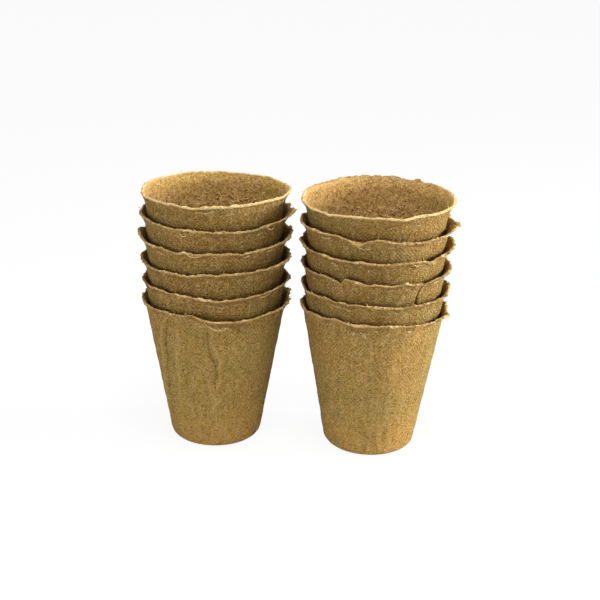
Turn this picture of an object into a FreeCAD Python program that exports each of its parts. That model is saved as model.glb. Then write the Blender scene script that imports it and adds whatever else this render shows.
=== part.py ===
"""Twelve round moulded-pulp peat pots, nested in two stacks of six. Millimetres, +Z up.

The origin is on the surface that the stacks stand on, midway between them. +X runs from the left stack to the right
one, and the right stack stands a little nearer to -Y. Pot 1 of each stack is the lowest. Every pot is the same
moulding: a drafted cup with a rounded foot, one drain hole and a turned-out lip. Each lip was torn along its own line
when the moulding was trimmed, so each pot is the shared blank cut back to its own rim outline.
"""

import FreeCAD, Part

import math
import os

import Sketcher

# Driving dimensions: alias, value, meaning. Lengths are in millimetres and angles in degrees.
DRIVING = (
    ("rim_diameter", 80.0, "across the lip, over its mean edge"),
    ("pot_height", 80.0, "foot to the top of the lip's mean edge"),
    ("draft_angle", 9.87, "lean of the wall from upright"),
    ("wall", 1.5, "thickness of the wall and lip"),
    ("floor_thickness", 1.8, "thickness of the floor"),
    ("foot_radius", 5.0, "outside rounding between wall and floor"),
    ("lip_radius", 9.0, "outside radius of the lip's turn-out"),
    ("lip_angle", 50.0, "lean of the lip from upright where its mean edge lies"),
    ("drain_diameter", 9.0, "hole in the middle of the floor"),
    ("rim_wave", 0.4, "slow wander of a rim outline, either way"),
    ("rim_ripple", 0.25, "quick wander of a rim outline, either way"),
    ("rim_jag", 0.45, "short jag of a rim outline, either way, at its roughest bearings"),
    ("rim_trim", 0.85, "most that one whole rim is trimmed longer or shorter than the mean"),
    ("rim_tear", 1.2, "reach of the largest tear or flap in a rim outline"),
    ("cut_overrun", 4.0, "how far a cut's tool runs past what it cuts"),
    ("stack_clearance", 5.96, "between the mean edges of the two stacks' lips"),
    ("stack_turn", 5.94, "from X to the line through the stacks' axes, clockwise from above"),
    ("left_gap_two", 0.62, "space between the walls of left pots 1 and 2"),
    ("left_gap_three", 0.61, "space between the walls of left pots 2 and 3"),
    ("left_gap_four", 0.52, "space between the walls of left pots 3 and 4"),
    ("left_gap_five", 0.54, "space between the walls of left pots 4 and 5"),
    ("left_gap_six", 0.57, "space between the walls of left pots 5 and 6"),
    ("right_gap_two", 0.56, "space between the walls of right pots 1 and 2"),
    ("right_gap_three", 0.59, "space between the walls of right pots 2 and 3"),
    ("right_gap_four", 0.44, "space between the walls of right pots 3 and 4"),
    ("right_gap_five", 0.27, "space between the walls of right pots 4 and 5"),
    ("right_gap_six", 0.61, "space between the walls of right pots 5 and 6"),
)

# The pots of each stack above the lowest, in order, by the end of the alias of the gap below each.
UPPER_POTS = ("two", "three", "four", "five", "six")

# Bearings are in degrees, anticlockwise from +X seen from above, so the front of a pot is at 270.
# For each pot: the share of rim_trim that its whole rim is longer (or, below zero, shorter), the bearings where its
# wave and its ripple crest, and its tears and flaps. A tear or flap is a bearing, half its width in degrees, and its
# share of rim_tear, below zero where the edge is torn away. A rim's jags are deepest where its wave crests.
RIM_SHARES = {
    "left_pot_1": (-0.4, 20, 10, ((270, 16, 0.7), (300, 13, -0.9), (322, 12, 0.6), (95, 14, -0.5))),
    "left_pot_2": (-0.4, 75, 50, ((205, 14, -0.5), (286, 12, 0.4), (40, 15, -0.6))),
    "left_pot_3": (0.0, 130, 25, ((250, 12, -0.5), (335, 14, 0.5), (140, 16, -0.6))),
    "left_pot_4": (0.3, 165, 65, ((182, 14, 0.9), (296, 12, -0.6), (70, 14, -0.7))),
    "left_pot_5": (0.1, 10, 35, ((358, 13, 0.9), (232, 13, -0.6), (120, 15, -0.5))),
    "left_pot_6": (-0.3, 100, 5, ((262, 12, -0.6), (312, 13, 0.5), (60, 12, -0.8), (150, 12, 0.4))),
    "right_pot_1": (-0.8, 55, 20, ((256, 14, -0.7), (331, 13, 0.9), (110, 14, -0.4))),
    "right_pot_2": (-0.5, 115, 60, ((225, 13, 0.5), (282, 12, -0.5), (20, 14, -0.5))),
    "right_pot_3": (0.0, 80, 30, ((238, 11, -0.9), (250, 12, 0.6), (304, 11, -1.0), (170, 14, 0.4))),
    "right_pot_4": (0.4, 175, 45, ((184, 14, 0.6), (274, 12, -0.5), (55, 15, -0.7))),
    "right_pot_5": (0.6, 5, 15, ((254, 11, -1.0), (357, 12, 0.8), (215, 13, 0.4), (100, 14, -0.6))),
    "right_pot_6": (0.2, 140, 55, ((292, 12, 0.8), (114, 11, -0.9), (88, 14, -0.7), (30, 14, 0.4))),
}

WAVES_AROUND = 2
RIPPLES_AROUND = 7
JAGS_AROUND = 17
RIM_POINTS = 72
RIM_EDGES = 18
FULL_TURN = 360
HALF_TURN = 180
QUARTER_TURN = 90

START_INDEX = 1
END_INDEX = 2
CENTRE_INDEX = 3
HORIZONTAL_AXIS = -1

UP = FreeCAD.Vector(0, 0, 1)


def make_sheet(document):
    """A sheet with one row for each driving dimension: its value, under its alias, and its meaning."""
    sheet = document.addObject("Spreadsheet::Sheet", "sizes")
    for row, (alias, value, meaning) in enumerate(DRIVING, start=1):
        sheet.set(f"A{row}", str(value))
        sheet.setAlias(f"A{row}", alias)
        sheet.set(f"B{row}", meaning)
    document.recompute()
    return sheet


def origin_plane(body, role):
    """One of the body's own three planes."""
    return next(feature for feature in body.Origin.OriginFeatures if feature.Role == role)


def new_sketch(body, name, role):
    """An empty sketch on one of the body's own planes."""
    sketch = body.newObject("Sketcher::SketchObject", name)
    sketch.AttachmentSupport = (origin_plane(body, role), "")
    sketch.MapMode = "FlatFace"
    return sketch


def polar(centre, radius, angle):
    """The point of a sketch at a radius from a centre, at an angle in radians from the sketch's X."""
    return centre + FreeCAD.Vector(radius * math.cos(angle), radius * math.sin(angle), 0)


def arc(centre, radius, first, last):
    """The arc of a sketch that runs anticlockwise between two angles in radians."""
    return Part.ArcOfCircle(Part.Circle(centre, UP, radius), first, last)


def wall_lines(sheet):
    """The closed half profile of a pot, from the axis out along the foot, up the wall, over the lip and back."""
    lean = math.radians(sheet.draft_angle)
    wall = sheet.wall
    outside = sheet.lip_radius
    lip_run = outside * math.cos(math.radians(sheet.lip_angle))
    reach = sheet.rim_wave + sheet.rim_ripple + sheet.rim_jag + sheet.rim_trim + sheet.rim_tear
    lip_centre = FreeCAD.Vector(
        sheet.rim_diameter / 2 + lip_run,
        sheet.pot_height - math.sqrt((outside + wall) ** 2 - lip_run**2),
        0,
    )
    lip_top = math.radians(HALF_TURN) - lean
    lip_end = math.radians(HALF_TURN) - math.acos((lip_run - reach) / (outside + wall))
    down = -math.radians(QUARTER_TURN)

    def foot(wall_top, level, radius):
        """The centre of the rounding between a level and the wall below a point."""
        height = level + radius
        inward = (wall_top.y - height) * math.tan(lean) + radius / math.cos(lean)
        return FreeCAD.Vector(wall_top.x - inward, height, 0)

    outer_top = polar(lip_centre, outside, lip_top)
    inner_top = polar(lip_centre, outside + wall, lip_top)
    outer_foot = foot(outer_top, 0, sheet.foot_radius)
    inner_radius = sheet.foot_radius - wall
    inner_foot = foot(inner_top, sheet.floor_thickness, inner_radius)
    under = FreeCAD.Vector(0, 0, 0)
    over = FreeCAD.Vector(0, sheet.floor_thickness, 0)
    return (
        Part.LineSegment(under, polar(outer_foot, sheet.foot_radius, down)),
        arc(outer_foot, sheet.foot_radius, down, -lean),
        Part.LineSegment(polar(outer_foot, sheet.foot_radius, -lean), outer_top),
        arc(lip_centre, outside, lip_end, lip_top),
        Part.LineSegment(polar(lip_centre, outside, lip_end), polar(lip_centre, outside + wall, lip_end)),
        arc(lip_centre, outside + wall, lip_end, lip_top),
        Part.LineSegment(inner_top, polar(inner_foot, inner_radius, -lean)),
        arc(inner_foot, inner_radius, down, -lean),
        Part.LineSegment(polar(inner_foot, inner_radius, down), over),
        Part.LineSegment(over, under),
    )


def measured(sketch, kind, places):
    """What a new constraint of this kind holds already, so that binding it to the sheet moves nothing."""
    if kind in ("DistanceX", "DistanceY"):
        centre = sketch.Geometry[places[2]].Center
        return centre.x if kind == "DistanceX" else centre.y
    curve = sketch.Geometry[places[0]]
    if kind == "Radius":
        return curve.Radius
    if kind == "Distance":
        return curve.length()
    run = curve.EndPoint - curve.StartPoint
    return math.atan2(run.y, run.x)


def draw_wall_profile(sketch, sheet):
    """Draws the half profile and ties each of its sizes to the sheet."""
    sketch.addGeometry(list(wall_lines(sheet)), False)
    underside, outer_foot, outer_wall, lip_under, lip_edge, lip_over, inner_wall, inner_foot, floor, axis = range(10)
    tangents = (
        (underside, END_INDEX, outer_foot, START_INDEX),
        (outer_foot, END_INDEX, outer_wall, START_INDEX),
        (outer_wall, END_INDEX, lip_under, END_INDEX),
        (lip_over, END_INDEX, inner_wall, START_INDEX),
        (inner_wall, END_INDEX, inner_foot, END_INDEX),
        (inner_foot, START_INDEX, floor, START_INDEX),
    )
    corners = (
        (lip_under, START_INDEX, lip_edge, START_INDEX),
        (lip_edge, END_INDEX, lip_over, START_INDEX),
        (floor, END_INDEX, axis, START_INDEX),
        (axis, END_INDEX, underside, START_INDEX),
        (lip_over, CENTRE_INDEX, lip_under, CENTRE_INDEX),
        (underside, START_INDEX, HORIZONTAL_AXIS, START_INDEX),
    )
    for ends in tangents:
        sketch.addConstraint(Sketcher.Constraint("Tangent", *ends))
    for ends in corners:
        sketch.addConstraint(Sketcher.Constraint("Coincident", *ends))
    sketch.addConstraint(Sketcher.Constraint("Horizontal", underside))
    sketch.addConstraint(Sketcher.Constraint("Horizontal", floor))
    sketch.addConstraint(Sketcher.Constraint("Vertical", axis))
    sketch.addConstraint(Sketcher.Constraint("Parallel", outer_wall, inner_wall))
    sketch.addConstraint(Sketcher.Constraint("PointOnObject", lip_over, CENTRE_INDEX, lip_edge))
    lip_run = "<<sizes>>.lip_radius * cos(<<sizes>>.lip_angle)"
    lip_over_radius = "(<<sizes>>.lip_radius + <<sizes>>.wall)"
    wander = "<<sizes>>.rim_wave + <<sizes>>.rim_ripple + <<sizes>>.rim_jag"
    reach = f"({wander} + <<sizes>>.rim_trim + <<sizes>>.rim_tear)"
    centre = (HORIZONTAL_AXIS, START_INDEX, lip_under, CENTRE_INDEX)
    measures = (
        ("foot_radius", ("Radius", outer_foot), "<<sizes>>.foot_radius"),
        ("inner_foot_radius", ("Radius", inner_foot), "<<sizes>>.foot_radius - <<sizes>>.wall"),
        ("lip_radius", ("Radius", lip_under), "<<sizes>>.lip_radius"),
        ("lip_over_radius", ("Radius", lip_over), lip_over_radius),
        ("floor_thickness", ("Distance", axis), "<<sizes>>.floor_thickness"),
        ("lip_centre_out", ("DistanceX", *centre), f"<<sizes>>.rim_diameter / 2 + {lip_run}"),
        ("lip_centre_up", ("DistanceY", *centre), f"<<sizes>>.pot_height - sqrt({lip_over_radius}^2 - ({lip_run})^2)"),
        ("wall_lean", ("Angle", outer_wall), "90 deg - <<sizes>>.draft_angle * 1 deg"),
        ("lip_end", ("Angle", lip_edge), f"180 deg - acos(({lip_run} - {reach}) / {lip_over_radius})"),
    )
    for name, (kind, *places), expression in measures:
        value = measured(sketch, kind, places)
        number = sketch.addConstraint(Sketcher.Constraint(kind, *places, value))
        sketch.renameConstraint(number, name)
        sketch.setExpression(f"Constraints.{name}", expression)


def make_blank(document, sheet):
    """The moulding as it leaves the press, with its lip still wider than any pot's rim outline."""
    body = document.addObject("PartDesign::Body", "pot_blank")
    profile = new_sketch(body, "wall_profile", "XZ_Plane")
    draw_wall_profile(profile, sheet)
    document.recompute()
    shell = body.newObject("PartDesign::Revolution", "moulded_wall")
    shell.Profile = profile
    shell.ReferenceAxis = (profile, ["V_Axis"])
    shell.Angle = FULL_TURN
    document.recompute()
    undrilled = body.Shape.Volume
    circle = new_sketch(body, "drain_circle", "XY_Plane")
    circle.addGeometry(Part.Circle(FreeCAD.Vector(0, 0, 0), UP, sheet.drain_diameter / 2), False)
    circle.addConstraint(Sketcher.Constraint("Coincident", 0, CENTRE_INDEX, HORIZONTAL_AXIS, START_INDEX))
    circle.addConstraint(Sketcher.Constraint("Diameter", 0, sheet.drain_diameter))
    circle.renameConstraint(1, "drain_diameter")
    circle.setExpression("Constraints.drain_diameter", "<<sizes>>.drain_diameter")
    drain = body.newObject("PartDesign::Pocket", "drain_hole")
    drain.Profile = circle
    drain.Type = "Length"
    drain.setExpression("Length", "<<sizes>>.floor_thickness + <<sizes>>.cut_overrun")
    drain.Reversed = True
    document.recompute()
    cut = math.pi * (sheet.drain_diameter / 2) ** 2 * sheet.floor_thickness
    if abs(undrilled - body.Shape.Volume - cut) > cut / 1000:
        raise RuntimeError("the drain hole didn't cut the floor")
    return body


def rim_radius(sheet, shares, bearing):
    """How far a pot's rim outline is from its axis at a bearing in degrees."""
    trim, wave_crest, ripple_crest, tears = shares
    radius = sheet.rim_diameter / 2 + sheet.rim_trim * trim
    radius += sheet.rim_wave * math.cos(math.radians(WAVES_AROUND * (bearing - wave_crest)))
    radius += sheet.rim_ripple * math.cos(math.radians(RIPPLES_AROUND * (bearing - ripple_crest)))
    roughness = math.cos(math.radians(bearing - wave_crest)) ** 2
    radius += sheet.rim_jag * roughness * math.sin(math.radians(JAGS_AROUND * (bearing - ripple_crest)))
    for tear_bearing, half_width, share in tears:
        away = (bearing - tear_bearing + HALF_TURN) % FULL_TURN - HALF_TURN
        if abs(away) < half_width:
            radius += sheet.rim_tear * share * math.cos(math.radians(QUARTER_TURN * away / half_width))
    return radius


def make_rim_outline(document, sheet, pot, shares):
    """An upright column whose plan is the line that a pot's lip was torn along."""
    column_foot = FreeCAD.Vector(0, 0, -sheet.cut_overrun)
    points = []
    for number in range(RIM_POINTS):
        bearing = FULL_TURN * number / RIM_POINTS
        radius = rim_radius(sheet, shares, bearing)
        points.append(polar(column_foot, radius, math.radians(bearing)))
    plan = Part.BSplineCurve()
    plan.interpolate(Points=points, PeriodicFlag=True)
    outline = document.addObject("Part::Feature", f"{pot}_rim_outline")
    height = sheet.pot_height + sheet.lip_radius + 2 * sheet.cut_overrun
    part = (plan.LastParameter - plan.FirstParameter) / RIM_EDGES
    ends = [plan.FirstParameter + part * number for number in range(RIM_EDGES + 1)]
    edges = [plan.toShape(first, last) for first, last in zip(ends, ends[1:])]
    outline.Shape = Part.Face(Part.Wire(edges)).extrude(UP * height)
    return outline


def make_pot(document, blank, outline, pot):
    """The blank cut back to a pot's own rim outline."""
    trimmed = document.addObject("Part::Common", pot)
    trimmed.Label = pot
    trimmed.Base = blank
    trimmed.Tool = outline
    return trimmed


def place_stack(side, pots):
    """Stands the lowest pot of a stack on the floor and nests each of the others in the pot below it."""
    away = {"left": "-0.5", "right": "0.5"}[side]
    line = f"{away} * (<<sizes>>.rim_diameter + <<sizes>>.stack_clearance)"
    for pot in pots:
        pot.setExpression(".Placement.Base.x", f"{line} * cos(<<sizes>>.stack_turn)")
        pot.setExpression(".Placement.Base.y", f"-1 * {line} * sin(<<sizes>>.stack_turn)")
    for below, pot, name in zip(pots, pots[1:], UPPER_POTS):
        rise = f"(<<sizes>>.wall + <<sizes>>.{side}_gap_{name}) / sin(<<sizes>>.draft_angle)"
        pot.setExpression(".Placement.Base.z", f"<<{below.Label}>>.Placement.Base.z + {rise} * 1 mm")


def check(document, pots):
    """Stops if any object failed, or if a pot isn't one valid solid."""
    for feature in document.Objects:
        if "Invalid" in feature.State or "Error" in feature.State:
            raise RuntimeError(f"{feature.Name} is {feature.State}")
    for pot in pots:
        shape = pot.Shape
        if shape.isNull() or not shape.isValid() or len(shape.Solids) != 1:
            raise RuntimeError(f"{pot.Label} isn't one valid solid")


def main():
    document = FreeCAD.newDocument("nested_peat_pots")
    sheet = make_sheet(document)
    blank = make_blank(document, sheet)
    stacks = {"left": [], "right": []}
    for name, shares in RIM_SHARES.items():
        outline = make_rim_outline(document, sheet, name, shares)
        pot = make_pot(document, blank, outline, name)
        stacks[name.partition("_")[0]].append(pot)
    for side, pots in stacks.items():
        place_stack(side, pots)
    document.recompute()
    pots = stacks["left"] + stacks["right"]
    check(document, pots)
    os.makedirs("parts", exist_ok=True)
    for pot in pots:
        pot.Shape.exportStep(f"parts/{pot.Label}.step")
        print(f"{pot.Label}: {pot.Shape.Volume:.0f} cubic mm, {len(pot.Shape.Faces)} faces")


main()
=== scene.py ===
"""The looks of two stacks of nested peat pots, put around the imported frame.

Each pot gets a mesh of its own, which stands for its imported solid: a felted wall, a turned-out lip with
a torn edge, and the loose fibres of the pulp. Sizes are in millimetres until a mesh is made. A bearing is
an angle round a pot's axis, in degrees: 0 faces the camera, 90 is the pot's right side.
"""
import itertools
import math

import bpy
import numpy as np
from mathutils import Matrix, Vector


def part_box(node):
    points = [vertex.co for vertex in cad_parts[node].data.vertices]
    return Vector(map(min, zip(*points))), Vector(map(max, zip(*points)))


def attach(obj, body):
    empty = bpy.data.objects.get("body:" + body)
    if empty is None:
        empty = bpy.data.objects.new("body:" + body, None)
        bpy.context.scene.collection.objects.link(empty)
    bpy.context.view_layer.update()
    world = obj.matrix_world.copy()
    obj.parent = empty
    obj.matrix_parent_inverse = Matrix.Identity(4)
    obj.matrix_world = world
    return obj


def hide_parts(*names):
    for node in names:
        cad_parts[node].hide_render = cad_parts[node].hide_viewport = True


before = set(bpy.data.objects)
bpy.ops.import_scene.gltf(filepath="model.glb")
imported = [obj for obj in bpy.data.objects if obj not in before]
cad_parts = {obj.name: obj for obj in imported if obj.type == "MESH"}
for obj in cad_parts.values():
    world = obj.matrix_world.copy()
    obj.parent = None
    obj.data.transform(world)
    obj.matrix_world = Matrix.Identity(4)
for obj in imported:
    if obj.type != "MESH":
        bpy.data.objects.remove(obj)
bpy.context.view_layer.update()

MM = 0.001
FULL_TURN = 2 * math.pi

# The pot's half profile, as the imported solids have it
RIM_RADIUS = 40.0
POT_HEIGHT = 80.0
DRAFT = math.radians(9.87)
WALL = 1.5
FLOOR = 1.8
FOOT_RADIUS = 5.0
LIP_RADIUS = 9.0
LIP_ANGLE = math.radians(50.0)
DRAIN_RADIUS = 4.5

# How finely a pot's mesh is divided: the lip has twice the wall's columns
WALL_COLUMNS = 400
LIP_COLUMNS = 800
FLOOR_ROWS = 6
FOOT_ROWS = 7
WALL_ROWS = 62
LIP_ROWS = 20
EDGE_ROWS = 6
LIP_STEPS = 65

# Below 1, this crowds the lip's rows towards its tip
LIP_CROWDING = 0.8

# A packed pot's foot is within this height in mm, and its rim's cut faces have normals flatter than this
FOOT_SLICE = 0.1
FLAT_NORMAL = 0.02

# Relief of the pulp in mm, and its share on a nested pot's wall and on a lowest pot's
FREE_RELIEF = 0.34
FELT_RELIEF = 0.65
NESTED_SHARE = 0.8
LOWEST_SHARE = 1.25
PEEL_DEPTH = 0.35

# Between nested walls the relief is this share of the gap. Above these heights it fades to its full size
GAP_SHARE = 0.35
FREE_OUTSIDE_FROM = 66.0
FREE_INSIDE_FROM = 71.0
FREE_FADE = 3.0

# How far from the torn edge a wall swells, and by how much outside and inside, in mm
SWELL_FADE = 0.8
SWELL_OUTSIDE = 0.2
SWELL_INSIDE = 0.1

# How a torn lip varies in reach, in mm. A pair is for a pot's right side and its left side
CALM_SHARE = 0.25
LEAST_ROUGH = 0.35
REACH = 0.3
REACH_WAVE = 0.2
REACH_RIPPLE = 0.35
REACH_AT_SIDES = 0.9, -0.4
RAGS = 0.8
RAGS_AT_SIDES = 0.5, -0.3
SMALL_RAGS_AT_SIDES = 0.5, 0.15
RAG_LEVEL = 0.4

# How a torn lip varies in bend, in radians
BEND_WAVE = math.radians(9)
BEND_RIPPLE = math.radians(12)
BEND_BACK = math.radians(5)
BEND_BACK_AT_SIDES = math.radians(10)

# How much the torn face between them is uneven in depth and in reach, in mm
FACE_DEPTH = 0.10
FACE_REACH = 0.20

# Widths of the torn face outside and inside the lip, and of the flaked strip under it, in mm
TORN_OUTSIDE = 0.3
TORN_INSIDE = 0.45
TORN_WAVE = 0.35
TORN_OUTSIDE_LIMITS = 0.1, 3.0
TORN_INSIDE_LIMITS = 0.1, 1.5
FLAKE_WIDTH = 2.0
FLAKE_WORN = 1.4
FLAKE_WAVE = 1.3
FLAKE_LIMITS = 0.8, 6.0

# The smooth band inside the rim, in mm
BAND_WIDTH = 2.4
BAND_AT_LEFT = 0.7
BAND_WAVE = 0.6
BAND_FADE = 1.4

# Shading of the edge: its fade in mm, the step where a flaked strip ends, and the skinned strip inside
EDGE_FADE = 0.25
EDGE_FADE_WAVE = 0.35
STEP_SHADE = 0.9
STEP_WIDTH = 0.35
SKINNED_WIDTH = 0.8
SKINNED_WAVE = 0.9
SKINNED_SHADE = 0.6
BROWN_SHADE = 0.8

# Loose fibres: how many, lengths and radii from least to most in mm
EDGE_FIBRES = 260, (0.6, 1.8), (0.05, 0.10)
EDGE_CURLS = 14, (1.5, 3.5), (0.10, 0.18)
WALL_FIBRES = 110, (1.0, 3.5), (0.05, 0.08)
SEEN_FIBRES = 1400, (2.0, 8.0), (0.12, 0.26)
HIDDEN_FIBRES = 120, (2.0, 8.0), (0.05, 0.10)
STRAND_RADII = 0.20, 0.28

# How strongly a fibre's path turns, inside and outside, in radians to a mm
INNER_CURL = 0.8
OUTER_CURL = 0.5

# A point under the lip, as radius and height, from which the torn edge's fibres point away
UNDER_LIP = 36.0, 76.0

# How many places a fibre's path has on a wall and on a torn edge, and how deep its root is in the edge, in mm
WALL_STEPS = 10
EDGE_STEPS = 6
ROOT_DEPTH = 0.2

# How far the middle of a fibre stands off its wall, in mm
WALL_LIFT = 0.04
SEEN_LIFT = 0.6
HIDDEN_LIFT = 0.05

# A hung strand: how many places it has, how far the wall is inside the rim there, and its stand-off, in mm
STRAND_STEPS = 12
STRAND_INSET = 1.5
STRAND_ROOT = 0.5
STRAND_ARCH = 1.1

# The camera: focal length in pixels, distance and aim in mm, and the photograph's width in pixels
FOCAL_LENGTH = 1169.3
DISTANCE = 633.8
AIM = 3.17, 0.0, 79.87
PITCH = math.radians(19.835)
ROLL = math.radians(1.201)
YAW = math.radians(1.062)
SENSOR_WIDTH = 36
IMAGE_WIDTH = 600

# Lamps, each with its place and width in metres and its power in watts, and the place that they face
LAMPS = (
    ("key_light", (0.90, 0.00, 0.25), 0.30, 13.6),
    ("top_light", (0.05, -0.30, 1.05), 0.40, 9.0),
    ("front_light", (-0.42, -0.86, 0.04), 0.40, 5.0),
)
LIT_PLACE = 0.0, 0.0, 0.07
SURROUND = 0.38

# The floor: how far it goes each way in mm, its grey, and the share of plain white in what is seen of it
FLOOR_REACH = 4000.0
FLOOR_GREY = 0.86
FLOOR_WHITE = 0.93

# Shading layers that each pot's mesh carries
LAYERS = "edge", "inside", "crease", "rim", "peel"

# Noise: a lattice of random slopes. A pot's shift, and a number added to it, each pick another part of it
POT_SHIFT = 3.7, 8.1, 5.3
NOISE_GAIN = 1.6
LAYER_SHIFT = 5
LAYER_WEAKENING = 1.7
LAYERED_RANGE = 1.3
LATTICE = 32
rng = np.random.default_rng(7)
gradients = rng.normal(size=(LATTICE ** 3, 3)).astype(np.float32)
gradients /= np.linalg.norm(gradients, axis=1, keepdims=True)

# Features of a lip, each with its bearing, its spread to the left and to the right in degrees, extra reach in
# mm, extra bend in degrees, and extra width of the torn face in mm
LIPS = {
    "left_pot_6": (
        (-14, 9, 7, -0.3, 24, 0.4),
        (-3, 9, 4, 0.2, 6, 1.5),
        (60, 18, 25, 0.1, -6, 0.5),
        (-80, 20, 20, 0.0, -6, 0.2),
    ),
    "left_pot_5": (
        (-80, 20, 20, -0.5, 0, 0),
        (45, 14, 16, 0.2, -14, 0.6),
        (93, 5, 5, 0.6, 8, 0),
        (5, 4, 5, 0.2, 14, 1.6),
    ),
    "left_pot_4": (
        (-84, 12, 14, 0.2, 0, 0),
        (-40, 5, 6, 0.5, -12, 0.2),
        (-8, 8, 6, -0.3, 12, 0.4),
    ),
    "left_pot_3": (
        (-70, 12, 10, 0.3, 0, 0),
        (-18, 12, 10, 0.2, 14, 1.6),
        (15, 20, 20, 0, 6, 1.2),
        (50, 12, 12, 0.2, -8, 0),
    ),
    "left_pot_2": (
        (-70, 12, 10, 0.3, 0, 0),
        (12, 16, 14, 0.2, 10, 1.5),
        (75, 12, 12, -0.3, 4, 0),
    ),
    "left_pot_1": (
        (-14, 8, 5, 1.8, -30, 0),
        (10, 15, 16, -0.4, 46, 2.0),
        (48, 10, 12, 0.2, -8, 0),
    ),
    "right_pot_6": (
        (180, 62, 45, 1.8, -22, 0.3),
        (166, 7, 9, 0.9, -6, 0),
        (200, 5, 8, 0.7, 0, 0),
        (150, 4, 4, -0.6, 0, 0),
        (-43, 2.5, 4, -0.9, 6, 0),
        (15, 9, 6, 0.6, 26, 0.5),
        (88, 24, 24, -0.2, -14, 0.2),
    ),
    "right_pot_5": (
        (-80, 25, 25, -0.6, 0, 0),
        (-17, 7, 5, 2.3, 85, 0.6),
        (-4, 7, 8, 0.5, -24, 0),
        (88, 11, 8, -0.5, 54, 0.5),
        (58, 5, 3, -1.4, 16, 0.5),
    ),
    "right_pot_4": (
        (-80, 20, 20, -0.4, 0, 0),
        (-30, 12, 10, 0.3, 30, 1.2),
        (-8, 9, 6, 0.3, 18, 1.8),
        (38, 4, 5, -1.0, 24, 0),
        (75, 14, 12, -0.5, 6, 0.5),
    ),
    "right_pot_3": (
        (-80, 25, 25, -0.5, 0, 0),
        (-31, 2.5, 1.5, -1.7, 10, 0),
        (-26, 2, 7, 1.0, -16, 0),
        (70, 12, 12, 0.4, 0, 0),
    ),
    "right_pot_2": (
        (-75, 20, 20, -0.5, 0, 0),
        (78, 10, 10, -0.2, 6, 0.4),
    ),
    "right_pot_1": (
        (-14, 12, 9, 0.2, 14, 1.5),
        (66, 6, 8, 0.8, 26, 0.3),
        (50, 4, 4, -0.8, 0, 0),
    ),
}

TOP_POTS = "left_pot_6", "right_pot_6"

# A top pot's rim is evened out over this many columns to each side
CALM_COLUMNS = 23

# How much wider the smooth band inside a rim is at the front than at the sides, in mm
BAND_AT_FRONT = {"left_pot_6": 1.2}

# The pot whose crease is a nearly straight split, and the share of a crease's wander that it keeps
SPLIT_POT = "right_pot_3"
SPLIT_WANDER = 0.2

# The pot with a brown torn back edge: the bearing of its middle, how far it reaches each way, and its fade
BROWN_POT = "right_pot_6"
BROWN_CENTRE = 185.0
BROWN_REACH = 80.0
BROWN_FADE = 50.0

# How much higher than the solid's a rim is, in mm, at each of some bearings
RISE_AT = (-60, -30, 0, 30, 60, 180)
RISES = {
    "left_pot_6": (1.1, 1.3, 1.2, 1.5, 0.9, 0.0),
    "left_pot_5": (1.2, 0.7, 0.6, -0.5, 0.7, 0.0),
    "left_pot_4": (0.2, 0.2, 0.9, 0.0, 0.2, 0.0),
    "left_pot_3": (-0.4, 0.5, 1.5, 1.2, 0.5, 0.0),
    "left_pot_2": (1.3, 2.1, 0.0, 0.2, 0.7, 0.0),
    "left_pot_1": (1.9, 3.3, 1.7, 1.7, 0.1, 0.0),
    "right_pot_6": (0.4, 1.7, 1.6, 1.2, 1.0, 2.2),
    "right_pot_5": (1.9, 2.5, 1.9, 0.0, 0.0, 0.0),
    "right_pot_4": (0.9, 1.3, 1.0, 0.0, 0.0, 0.0),
    "right_pot_3": (1.3, 1.3, 0.5, 0.0, 0.0, 0.0),
    "right_pot_2": (1.9, 2.0, 1.5, 0.5, 0.0, 0.0),
    "right_pot_1": (3.1, 4.1, 3.7, 2.3, 0.7, 0.0),
}

# Creases of an outer wall, each with its depth in mm, below zero for a ridge, and then points of bearing,
# height and half width in mm
CREASES = {
    "left_pot_1": (
        (0.75, ((-4, 76, 0.8), (-4, 70, 1.3), (-2, 62, 1.4), (2, 54, 1.2), (3, 46, 1.1), (0, 38, 0.7))),
        (-0.8, (
            (0, 76, 0.8), (0, 68, 1.0), (4, 61, 1.2), (7, 55, 0.9),
            (5, 49, 1.0), (7, 43, 0.9), (4, 36, 0.6),
        )),
        (0.5, ((12, 62, 0.7), (13, 54, 0.9), (10, 46, 0.9), (12, 38, 0.6))),
        (-0.6, ((-4, 46, 0.8), (-2, 38, 1.0), (2, 30, 1.0), (-1, 20, 0.7))),
        (0.45, ((-8, 46, 0.6), (-6, 36, 0.9), (-8, 24, 0.7))),
        (0.45, ((14, 74, 0.7), (17, 66, 1.0), (15, 58, 0.8))),
        (0.5, ((-22, 76, 1.2), (-25, 50, 2.0), (-28, 22, 1.6))),
        (-0.5, ((-30, 76, 1.6), (-34, 50, 2.2), (-38, 22, 1.8))),
        (0.8, (
            (-38, 78, 0.5), (-42, 71, 0.7), (-48, 55, 0.7),
            (-53, 40, 0.8), (-57, 23, 0.8), (-57, 12, 0.5),
        )),
        (-0.9, (
            (-42, 78, 0.8), (-47, 71, 1.1), (-54, 55, 1.2),
            (-60, 40, 1.2), (-65, 23, 1.0), (-64, 10, 0.6),
        )),
        (0.25, ((30, 76, 0.6), (33, 62, 0.8), (31, 48, 0.6))),
        (-0.9, ((13, 78, 0.6), (15, 76, 0.7), (19, 74, 0.6), (17, 71, 0.3))),
    ),
    "right_pot_3": (
        (1.5, ((34, 79, 0.25), (33, 73, 0.45), (32, 64, 0.8))),
    ),
    "right_pot_1": (
        (0.2, ((-22, 72, 0.7), (-25, 50, 0.9), (-24, 30, 0.7))),
        (0.2, ((28, 60, 0.8), (33, 40, 0.8), (30, 22, 0.6))),
    ),
}

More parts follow.
